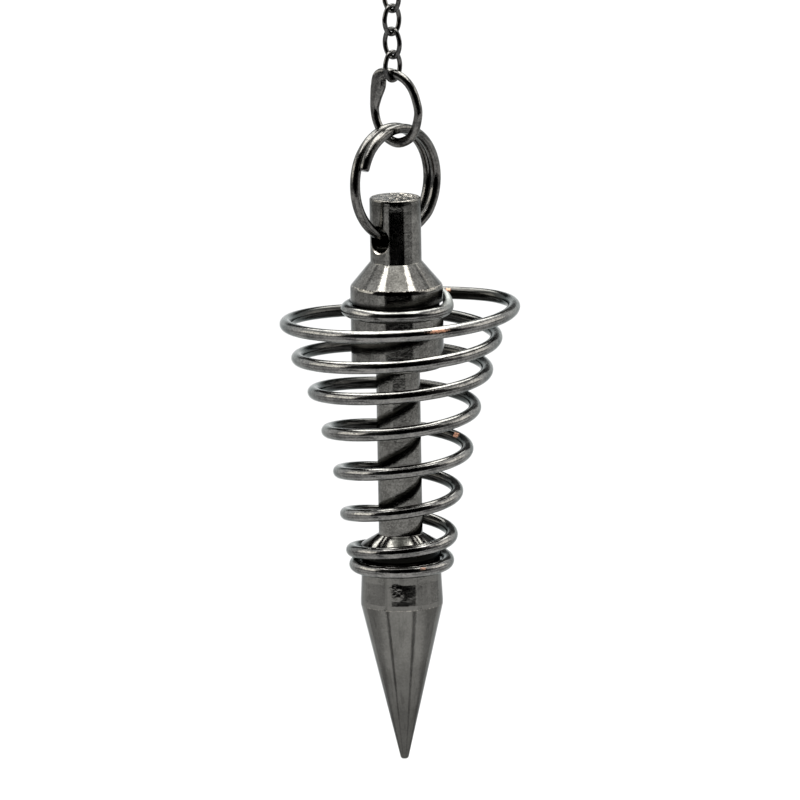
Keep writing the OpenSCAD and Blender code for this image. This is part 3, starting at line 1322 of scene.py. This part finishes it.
@dataclass
class TurnedWeight:
    """The turned weight: neck, cone, collar, rod, barrel and point in one piece.

    Attributes:
        neck: Diameter and length of the neck.
        hole: Diameter of the cross hole.
        hole_flare: How far the hole's mouths are worn open.
        shoulder: Height of the cone between neck and collar.
        collar: Diameter and height of the collar.
        rod: Diameter and length of the rod.
        barrel_cone: Height of the shallow cone on the barrel.
        barrel: Upper diameter, lower diameter and height of the barrel.
        flare: Diameter where the barrel starts to flare, and the heights above its
            lower edge where the flare starts and ends.
        tip: Diameter of the blunt tip.
        edge: Rounding of the turned edges.
        seats: Depths of the grooves that seat the spiral, on collar and barrel.
        seat_drops: Distance of each groove below its top edge.
        seat_height: Height of a groove.
        yaw: Direction of the cross hole.
        drill_reach: Half length of the drill, as a share of the neck's radius.
        drill_grid: Stations along the drill and sides round it.
        flare_from: Place where a mouth starts to widen, as a share of that radius.
        flare_width: Width over which it widens, as a share of that radius.
        cut: Relief of the top face.
        finish: Finish of the metal.
        around: Sides round the body.
        face_rings: Rings of points on the top face.
    """

    neck: tuple[float, float] = (5.7 * MM, 7.2 * MM)
    hole: float = 2.7 * MM
    hole_flare: float = 0.32 * MM
    shoulder: float = 2.75 * MM
    collar: tuple[float, float] = (10.3 * MM, 9.1 * MM)
    rod: tuple[float, float] = (4.9 * MM, 18.95 * MM)
    barrel_cone: float = 1.2 * MM
    barrel: tuple[float, float, float] = (8.9 * MM, 9.17 * MM, 6.8 * MM)
    flare: tuple[float, float, float] = (8.94 * MM, 2.9 * MM, 0.5 * MM)
    tip: float = 0.8 * MM
    edge: float = 0.25 * MM
    seats: tuple[float, float] = (0.37 * MM, 0.1 * MM)
    seat_drops: tuple[float, float] = (2.55 * MM, 2.25 * MM)
    seat_height: float = 1.64 * MM
    yaw: float = 47.0
    drill_reach: float = 1.4
    drill_grid: tuple[int, int] = (57, 72)
    flare_from: float = 0.80
    flare_width: float = 0.22
    cut: RoughCut = RoughCut()
    finish: TurnedMetal = TurnedMetal("turned_gunmetal")
    around: int = 192
    face_rings: int = 27

    def levels(self, hang: Hang) -> Levels:
        """Heights of the faces, one length below the other from the neck's top.

        Args:
            hang: Heights along the hanging line.

        Returns:
            The heights.
        """
        shoulder = hang.neck_top - self.neck[1]
        collar_top = shoulder - self.shoulder
        collar_low = collar_top - self.collar[1]
        rod_low = collar_low - self.rod[1]
        barrel_top = rod_low - self.barrel_cone
        return Levels(shoulder, collar_top, collar_low, rod_low, barrel_top,
                      barrel_top - self.barrel[2])

    def outline(self, hang: Hang) -> np.ndarray:
        """Outline from the top face's middle down to the tip.

        Each row below is a sharp corner's radius and height, and its rounding.

        Args:
            hang: Heights along the hanging line.

        Returns:
            Points as (radius, height).
        """
        at = self.levels(hang)
        neck, collar, rod, barrel = (piece[0] / 2 for piece in (self.neck, self.collar,
                                                                self.rod, self.barrel))
        foot = self.barrel[1] / 2
        rows = np.array([
            [neck, hang.neck_top, self.edge],
            [neck, at.shoulder, 0.5 * self.edge],
            [collar, at.collar_top, 3 * self.edge],
            *self._groove(collar, self.seats[0], at.collar_top - self.seat_drops[0]),
            [collar, at.collar_low, self.edge],
            [rod, at.collar_low, 0.6 * self.edge],
            [rod, at.rod_low, 0.5 * self.edge],
            [barrel, at.barrel_top, self.edge],
            *self._groove(barrel, self.seats[1], at.barrel_top - self.seat_drops[1]),
            [self.flare[0] / 2, at.barrel_low + self.flare[1], 24 * self.edge],
            [foot, at.barrel_low + self.flare[2], 12 * self.edge],
            [foot, at.barrel_low, 1.2 * self.edge],
            [self.tip / 2, hang.tip, 0.4 * self.tip]])
        top, end = np.array([[POLE, hang.neck_top], [POLE, hang.tip]])
        corners = np.vstack([top, rows[:, :2], end])
        face = np.linspace(top, [self.face_radius(), hang.neck_top], self.face_rings,
                           endpoint=False)
        arcs = [rounded_corner(corner, before, after, rounding)
                for before, corner, after, rounding
                in zip(corners[:-2], corners[1:-1], corners[2:], rows[:, 2])]
        return np.concatenate([face, *arcs, [end]])

    def face_radius(self) -> float:
        """Radius of the flat part of the top face, inside its rounded edge."""
        return self.neck[0] / 2 - SUPPORT * self.edge

    def _groove(self, radius: float, depth: float, middle: float) -> list[list[float]]:
        """Corners of a shallow groove.

        Args:
            radius: Radius of the face that it is cut in.
            depth: Its depth.
            middle: Height of its middle.

        Returns:
            Rows of radius, height and rounding from the top down.
        """
        top, low = middle + self.seat_height / 2, middle - self.seat_height / 2
        places = ((radius, top), (radius - depth, top),
                  (radius - depth, low), (radius, low))
        return [[*place, 0.12 * self.edge] for place in places]

    def drill(self, hang: Hang) -> bpy.types.Object:
        """Makes the drill that cuts the cross hole, wider where its mouths are worn.

        The radius is the hole's, plus the flare times an eased share of how far the
        place along the hole lies past the neck's flat flanks.

        Args:
            hang: Heights along the hanging line.

        Returns:
            The drill.
        """
        reach = self.neck[0] / 2
        stations, sides = self.drill_grid
        s = np.linspace(-self.drill_reach * reach, self.drill_reach * reach, stations)
        share = np.clip((np.abs(s) - self.flare_from * reach)
                        / (self.flare_width * reach), 0, 1)
        radius = self.hole / 2 + self.hole_flare * share**2
        a = np.linspace(0, 2 * np.pi, sides, endpoint=False)
        grid = np.stack([np.broadcast_to(s[:, None], self.drill_grid),
                         radius[:, None] * np.cos(a),
                         radius[:, None] * np.sin(a)], axis=-1)
        drill = Skin("cross_hole_drill").grid(grid).make()
        place_points(drill, self.yaw, np.array([0, 0, hang.hole]))
        return drill

    def turn(self, hang: Hang) -> bpy.types.Object:
        """Turns the body.

        Each outline point (r, z) is carried round as (r cos a, r sin a, z), and the
        top face gets its relief.

        Args:
            hang: Heights along the hanging line.

        Returns:
            The body, not drilled yet.
        """
        r, z = np.split(self.outline(hang), 2, axis=1)
        a = np.linspace(0, 2 * np.pi, self.around, endpoint=False)
        x, y = r * np.cos(a), r * np.sin(a)
        on_face = z > hang.neck_top - NEAR
        relief = self.cut.height(x, y, self.face_radius())
        grid = np.stack([x, y, z + np.where(on_face, relief, 0.0)], axis=-1)
        return Skin("turned_weight").grid(grid).make()

    def build(self, hang: Hang) -> list[bpy.types.Object]:
        """Turns the body and drills its neck.

        Args:
            hang: Heights along the hanging line.

        Returns:
            The weight.
        """
        weight, drill = self.turn(hang), self.drill(hang)
        cut = weight.modifiers.new("cross_hole", "BOOLEAN")
        cut.operation, cut.solver, cut.object = "DIFFERENCE", "EXACT", drill
        seen = weight.evaluated_get(bpy.context.evaluated_depsgraph_get())
        drilled = bpy.data.meshes.new_from_object(seen)
        weight.modifiers.clear()
        weight.data = drilled
        bpy.data.objects.remove(drill)
        shade(drilled)
        return [dress(weight, "weight_body", Body.WEIGHT,
                      self.finish.material(self.worn(hang)))]

    def worn(self, hang: Hang) -> WornEdges:
        """Gives the worn edges with the painted highlight on the hole's lower lip, a
        darker band below the neck's top, and painted shade at the seats and towards the
        tip.

        Args:
            hang: Heights along the hanging line.

        Returns:
            Their heights and widths.
        """
        at = self.levels(hang)
        return WornEdges(
            bands=((hang.neck_top, 0.26 * MM), (at.collar_top + 0.16 * MM, 0.20 * MM),
                   (at.barrel_low, 0.10 * MM)),
            # Darker band below the neck's top, then painted shade above the collar's
            # seated turn, between the two lowest turns and towards the tip.
            tarnish_and_shade=((hang.neck_top - 0.9 * MM, 0.9 * MM, 0.30),
                     (at.collar_top - self.seat_drops[0] + 0.8 * MM, 0.45 * MM, 0.85),
                     (at.barrel_top - 0.9 * MM, 1.3 * MM, 1.0),
                     (hang.tip, 13.0 * MM, 0.50)),
            even=at.barrel_top,
            dent=(-0.70 * MM, -self.barrel[1] / 2, at.barrel_low + 2.1 * MM),
            dent_size=1.1 * MM,
            marks=hang.neck_top - 0.55 * MM,
            marks_width=0.7 * MM,
            face=hang.neck_top,
            hole=hang.hole,
            yaw=self.yaw,
            # Painted highlight on the lower lip of the cross hole.
            lip=self.hole / 2 + 0.5 * self.hole_flare,
            lip_width=0.8 * self.hole_flare)


@dataclass
class ConicalSpiral:
    """One wire from its raised end on the collar out and down to the barrel.

    Attributes:
        weight: The weight that it sits on.
        wire: Thickness of the wire.
        widest: Radius of its middle line at the widest turn.
        seat_play: Gap round the seated wire.
        crown: Rows of the turn, share of the way out from the collar seat, and lift
            above that seat as a share of the wire's thickness.
        turns: Rows of the turn, share of the way out from the barrel seat, and share
            of the way down from the collar seat.
        rubs: Rows of each rubbed spot's turn, half its length in turns, its angle on
            the wire from the inner side over the top, half its width in degrees, and
            its strength.
        thin_end: Thickness of the raised end as a share of the wire's.
        thin_from: Turn from which it gets thinner.
        thin_fade: Turns over which it gets thinner.
        end_trims: Thickness of the first two stations from each cut end, as a share.
        dull_to: Turn up to which the raised end is dull.
        dull_fade: Turns over which the dullness fades.
        shade_from: Cosine of the angle off the wire's inner side where painted shade
            starts.
        shade_fade: How much further it has to rise until the painted shade is full.
        finish: Finish of the wire.
        steps_per_turn: Stations in a turn.
        sides: Sides of the wire.
    """

    weight: TurnedWeight
    wire: float = 1.4 * MM
    widest: float = 13.0 * MM
    seat_play: float = 0.06 * MM
    crown: Table = (
        (-1.09, 0.020, 0.98), (-1.05, 0.030, 0.62), (-1.01, 0.022, 0.16), (-0.96, 0, 0),
        (-0.75, 0, 0), (-0.50, 0, 0), (-0.417, 0.01, 0), (-0.333, 0.10, 0),
        (-0.25, 0.29, 0), (-0.139, 0.67, 0), (-0.083, 0.90, 0), (-0.042, 0.98, 0),
        (0, 1, 0),
    )
    turns: Table = (
        (0, 1, 0), (0.5, 0.918, 0.054), (1, 0.744, 0.121), (1.5, 0.763, 0.188),
        (2, 0.607, 0.248), (2.5, 0.543, 0.322), (3, 0.429, 0.393), (3.5, 0.359, 0.475),
        (4, 0.311, 0.555), (4.5, 0.205, 0.635), (5, 0.157, 0.720), (5.5, 0.118, 0.801),
        (6, 0.070, 0.890), (6.5, 0.041, 0.944), (7, 0.012, 0.991), (7.3, 0, 1),
        (7.6, 0, 1),
    )
    rubs: Table = (
        (-0.15, 0.006, 35, 35, 1.0), (0.195, 0.019, 158, 22, 0.95),
        (3.922, 0.018, 50, 40, 0.9), (7.181, 0.024, 152, 20, 0.62),
    )
    thin_end: float = 0.56
    thin_from: float = -0.98
    thin_fade: float = 0.11
    end_trims: tuple[float, float] = (0.82, 0.96)
    dull_to: float = -0.90
    dull_fade: float = 0.08
    shade_from: float = 0.2
    shade_fade: float = 0.4
    finish: PlatedWire = PlatedWire("spiral_plating")
    steps_per_turn: int = 96
    sides: int = 24

    def path(self, hang: Hang) -> tuple[np.ndarray, np.ndarray]:
        """Middle line of the wire.

        A turn t lies at radius r(t) and height z(t) from the tables, at the angle
        360 t, counted from the right by the front.

        Args:
            hang: Heights along the hanging line.

        Returns:
            The path, n x 3, and the turn at each point.
        """
        weight, at = self.weight, self.weight.levels(hang)
        high = at.collar_top - weight.seat_drops[0]
        low = at.barrel_top - weight.seat_drops[1]
        out = self.seat_play + self.wire / 2
        upper = weight.collar[0] / 2 - weight.seats[0] + out
        lower = weight.barrel[0] / 2 - weight.seats[1] + out
        first, last = self.crown[0][0], self.turns[-1][0]
        steps = math.ceil((last - first) * self.steps_per_turn)
        t = np.linspace(first, last, steps + 1)
        crown = t < 0
        outwards = np.maximum(0, smooth(self.turns, 1, t))
        r = np.where(crown, upper + (self.widest - upper) * smooth(self.crown, 1, t),
                     lower + (self.widest - lower) * outwards)
        z = np.where(crown, high + self.wire * smooth(self.crown, 2, t),
                     high - (high - low) * smooth(self.turns, 2, t))
        angle = 2 * np.pi * t
        return np.stack([r * np.cos(angle), -r * np.sin(angle), z], axis=-1), t

    def build(self, hang: Hang) -> list[bpy.types.Object]:
        """Builds the wire with its two cut ends.

        Args:
            hang: Heights along the hanging line.

        Returns:
            The wire.
        """
        path, t = self.path(hang)
        raised = np.clip((self.thin_from - t) / self.thin_fade, 0, 1)
        thin = 1 - (1 - self.thin_end) * raised
        wide = self.wire * trimmed_ends(thin, self.end_trims)
        outline = rounded_outline(wide, wide, np.zeros(len(t)), self.sides)
        dull = np.clip((self.dull_to - t) / self.dull_fade, 0, 1)[:, None]
        # Painted shade on the wire's inner side, which faces the weight.
        inwards = np.cos(side_angles(self.sides))
        painted_shade = np.clip((inwards - self.shade_from) / self.shade_fade, 0, 1)
        coil = wire_skin("spiral_wire_coil", path, outline, axis=(0, 0, 1),
                         closed=False, wear=self.wear(t), dull=dull, painted_shade=painted_shade).make()
        return [dress(coil, "spiral_wire", Body.WEIGHT,
                      self.finish.material())]

    def wear(self, t: np.ndarray) -> np.ndarray:
        """How far the plating is rubbed at each point of the wire.

        Each spot adds strength * exp(-x^2 - y^2), with x the turns and y the degrees
        from its middle, each as a share of half the spot's size.

        Args:
            t: The turn at each station.

        Returns:
            Wear from 0 to 1, stations x sides.
        """
        side = np.degrees(side_angles(self.sides))
        wear = np.zeros((len(t), self.sides))
        for turn, length, lift, width, strength in self.rubs:
            off = (side - lift + 180) % 360 - 180
            along = (t[:, None] - turn) / length
            wear += strength * np.exp(-along ** 2 - (off / width) ** 2)
        return wear


class Wrap(Enum):
    """How a card's two angles run round the object."""

    ROUND = "azimuth from the front towards the right, and height above the horizon"
    OVER = "angle out to the right, and angle from the front over the top to the back"
    FLAT = "as round, but on a level sheet below the object"


@dataclass
class Card:
    """A light or dark card, part of a ball round the object, seen in the metal alone.

    Attributes:
        name: Name of the card.
        side: Its left and right edge.
        rise: Its lower and upper edge.
        radius: Distance from the object.
        shine: Light that it sends out, or 0 for a dark card.
        colour: Colour of its light.
        soft: Width of its soft edge in degrees.
        ragged: How far its edge wanders in degrees.
        patches: How often it wanders in a metre.
        wrap: How the angles run.
        grid: Columns and rows of its points.
    """

    name: str
    side: tuple[float, float]
    rise: tuple[float, float]
    radius: float
    shine: float
    colour: Colour = (1.0, 1.0, 1.0)
    soft: float = 6.0
    ragged: float = 0.0
    patches: float = 40.0
    wrap: Wrap = Wrap.ROUND
    grid: tuple[int, int] = (49, 37)

    def build(self, middle: Sequence[float]) -> None:
        """Builds the card: a grid over its two angles a and e.

        A round card's points lie at (cos e sin a, -cos e cos a, sin e), those of one
        that runs over the top at (sin a, -cos a cos e, cos a sin e), and those of a
        flat one at (sin a / tan -e, -cos a / tan -e, -1).

        Args:
            middle: The ball's middle.
        """
        a, e = np.meshgrid(np.linspace(*self.side, self.grid[0]),
                           np.linspace(*self.rise, self.grid[1]))
        edge = np.minimum(np.minimum(a - a[0, 0], a[0, -1] - a),
                          np.minimum(e - e[0, 0], e[-1, 0] - e))
        a, e = np.radians(a), np.radians(e)
        if self.wrap is Wrap.ROUND:
            ball = [np.cos(e) * np.sin(a), -np.cos(e) * np.cos(a), np.sin(e)]
        elif self.wrap is Wrap.OVER:
            ball = [np.sin(a), -np.cos(a) * np.cos(e), np.cos(a) * np.sin(e)]
        else:
            reach = 1 / np.tan(-e)
            ball = [reach * np.sin(a), -reach * np.cos(a), -np.ones_like(a)]
        points = np.asarray(middle, float) + self.radius * np.stack(ball, axis=-1)
        card = Skin(self.name).grid(points, closed_columns=False, caps=(False, False),
                                    **{EDGE: edge}).make()
        card.data.materials.append(self._material())
        card.visible_camera = card.visible_diffuse = card.visible_shadow = False

    def _material(self) -> bpy.types.Material:
        """Soft-edged light or dark sheet: the edge fades into what lies behind it."""
        tree = Tree(f"{self.name}_sheet")
        wander = tree.noise(tree.object_place(), Noise(self.patches, 3.0, 0.6)) - 0.5
        edge = tree.attribute(EDGE, "Fac") + 2 * self.ragged * wander
        light = {"Color": (*self.colour, 1.0), "Strength": self.shine}
        sheet = tree.node("ShaderNodeEmission", {}, light, "Emission")
        clear = tree.node("ShaderNodeBsdfTransparent", {}, {}, "BSDF")
        return tree.finish(tree.node(
            "ShaderNodeMixShader", {},
            {0: edge.step(0.0, self.soft), 1: clear, 2: sheet}, "Shader"))


@dataclass
class Studio:
    """Pale floor, soft lights and the camera at the photo's angle.

    Attributes:
        floor_height: Height of the floor.
        floor_radii: Radius of its first and its last ring of points.
        floor_grid: Rings of points and points in a ring.
        target: Point that the photo's middle shows.
        distance: Distance of the camera.
        elevation: Height of the camera above the horizon.
        roll: Turn of the camera about its line of sight.
        pixels_per_metre: Scale of the photo at the object.
        image: Width of the photo in pixels.
        sensor: Width of the camera's sensor in millimetres.
        clip: Nearest and farthest distance that the camera sees.
        sky: Light of the white room.
        cards: Lights and dark cards.
    """

    floor_height: float = -0.150
    floor_radii: tuple[float, float] = (0.02, 4.0)
    floor_grid: tuple[int, int] = (24, 96)
    target: tuple[float, float, float] = (0.17 * MM, 0.0, -46.7 * MM)
    distance: float = 1.3
    elevation: float = 11.3
    roll: float = 1.0
    pixels_per_metre: float = 9000.0
    image: int = 800
    sensor: float = 36.0
    clip: tuple[float, float] = (0.05, 20.0)
    sky: float = 1.30
    cards: Sequence[Card] = field(default_factory=lambda: (
        # The dark room in front, which the neck, the collar and the barrel mirror.
        Card("dark_front", (-30, 40), (-11.8, 63), radius=0.30, shine=0.0,
             soft=1.2, ragged=1.0),
        Card("dark_room", (-30, 40), (-10.9, 63), radius=0.49, shine=0.0,
             soft=1.0, ragged=1.2),
        Card("dark_left", (-64, -26), (-7, 60), radius=0.50, shine=0.03,
             soft=2.0, ragged=2.0),
        Card("dark_right", (36, 64), (-7, 60), radius=0.50, shine=0.03,
             soft=2.0, ragged=2.0),
        # Lights overhead, for the cones and the tops of the wires.
        Card("front_top", (-19, 19), (62, 77), radius=0.62, shine=2.3,
             colour=(1.0, 0.99, 0.96), soft=2.0, wrap=Wrap.OVER),
        Card("roof_light", (-31, 31), (74, 142), radius=0.60, shine=7.5,
             colour=(1.0, 0.985, 0.95), soft=6.0, wrap=Wrap.OVER),
        Card("right_light", (19, 32.5), (68, 82), radius=0.58, shine=12.0,
             colour=(1.0, 0.985, 0.95), soft=3.5, wrap=Wrap.OVER),
        Card("left_light", (-32.5, -19), (68, 82), radius=0.58, shine=12.0,
             colour=(1.0, 0.99, 0.96), soft=3.5, wrap=Wrap.OVER),
        # Grey walls round the room.
        Card("right_low", (42, 132), (-16, -10.2), radius=0.50, shine=0.48,
             soft=1.5, ragged=1.0),
        Card("right_grey", (36, 80), (-10.5, 30), radius=0.52, shine=0.26,
             soft=3.0, ragged=2.0),
        Card("left_grey", (-128, -46), (-15, 5), radius=0.50, shine=0.62,
             soft=5.0, ragged=3.0),
        Card("grey_room", (-118, 118), (-4, 46), radius=0.90, shine=0.42,
             colour=(0.97, 1.0, 1.0), soft=6.0),
        # A window on each side.
        Card("left_window", (-114, -61), (9, 39), radius=0.54, shine=3.2,
             colour=(1.0, 0.97, 0.90), soft=4.0),
        Card("right_window", (61, 122), (9, 39), radius=0.54, shine=2.8,
             colour=(1.0, 0.97, 0.92), soft=4.0),
        # The floor, which the point and the undersides mirror, and its dark lines.
        Card("left_seam", (-53, -43), (-38, -15.5), radius=0.1020, shine=0.10,
             soft=1.5, ragged=3.0, wrap=Wrap.FLAT),
        Card("right_seam", (46, 58), (-38, -15.5), radius=0.1020, shine=0.20,
             soft=2.0, ragged=4.0, wrap=Wrap.FLAT),
        Card("left_line", (-54, -38), (-53, -36), radius=0.1015, shine=0.30,
             soft=6.0, ragged=8.0, patches=110.0, wrap=Wrap.FLAT),
        Card("right_line", (30, 47), (-53, -36), radius=0.1015, shine=0.36,
             soft=6.0, ragged=10.0, patches=130.0, wrap=Wrap.FLAT),
        Card("front_floor", (-46, 46), (-43, -33), radius=0.1027, shine=1.35,
             colour=(1.0, 0.985, 0.94), soft=3.0, wrap=Wrap.FLAT),
        Card("left_floor", (-128, -46), (-43, -15.5), radius=0.1025, shine=0.64,
             soft=5.0, wrap=Wrap.FLAT),
        Card("right_floor", (46, 128), (-43, -15.5), radius=0.1025, shine=0.62,
             soft=5.0, wrap=Wrap.FLAT),
        # Shade at the back.
        Card("back_shade", (146, 214), (13.5, 62), radius=0.90, shine=0.12,
             soft=4.0, ragged=1.5),
    ))

    def build_floor(self) -> None:
        """Builds the floor: rings of points r (cos a, sin a) at one height."""
        rings, sides = self.floor_grid
        r = np.geomspace(*self.floor_radii, rings)[:, None]
        a = np.linspace(0, 2 * np.pi, sides, endpoint=False)[None, :]
        grid = np.stack([r * np.cos(a), r * np.sin(a),
                         np.full(self.floor_grid, self.floor_height)], axis=-1)
        floor = Skin("studio_floor").grid(grid, caps=(True, False)).make()
        floor.data.materials.append(PaleFloor().material())

    def build_sky(self) -> None:
        """Sets the even white light of the room."""
        world = bpy.data.worlds.new("white_room")
        world.use_nodes = True
        sheet = world.node_tree.nodes["Background"]
        sheet.inputs["Color"].default_value = (1.0, 1.0, 1.0, 1.0)
        sheet.inputs["Strength"].default_value = self.sky
        bpy.context.scene.world = world
        bpy.context.scene.view_settings.view_transform = "Standard"

    def build_camera(self) -> None:
        """Sets the camera: looking down by the elevation, with a slight roll."""
        e, roll = math.radians(self.elevation), math.radians(self.roll)
        ahead = np.array([0.0, math.cos(e), -math.sin(e)])
        right = np.array([1.0, 0.0, 0.0])
        up = np.cross(right, ahead)
        turned_right = math.cos(roll) * right - math.sin(roll) * up
        turned_up = math.sin(roll) * right + math.cos(roll) * up
        matrix = np.eye(4)
        matrix[:3, 0], matrix[:3, 1], matrix[:3, 2] = turned_right, turned_up, -ahead
        matrix[:3, 3] = np.array(self.target) - self.distance * ahead
        camera = bpy.data.objects.new("camera", bpy.data.cameras.new("camera"))
        camera.data.sensor_width = self.sensor
        pixels = self.pixels_per_metre * self.distance
        camera.data.lens = pixels / self.image * self.sensor
        camera.data.clip_start, camera.data.clip_end = self.clip
        camera.matrix_world = [list(row) for row in matrix.T]
        bpy.context.scene.collection.objects.link(camera)
        bpy.context.scene.camera = camera

    def build(self) -> None:
        """Builds the floor, the lights and the camera."""
        self.build_floor()
        self.build_sky()
        for card in self.cards:
            card.build(self.target)
        self.build_camera()


def main() -> None:
    """Dresses the frame: chain, rings, weight and spiral, then the studio."""
    logging.basicConfig(level=logging.INFO, format="%(name)s: %(message)s")
    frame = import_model()
    hang = Hang.read(frame)
    weight = TurnedWeight()
    assemblies = (CableChain(), PearRing(), SplitRing(), weight, ConicalSpiral(weight))
    for assembly in assemblies:
        for piece in assembly.build(hang):
            log.info("%s: %d faces", piece.name, len(piece.data.polygons))
    Studio().build()


if __name__ == "__main__":
    main()
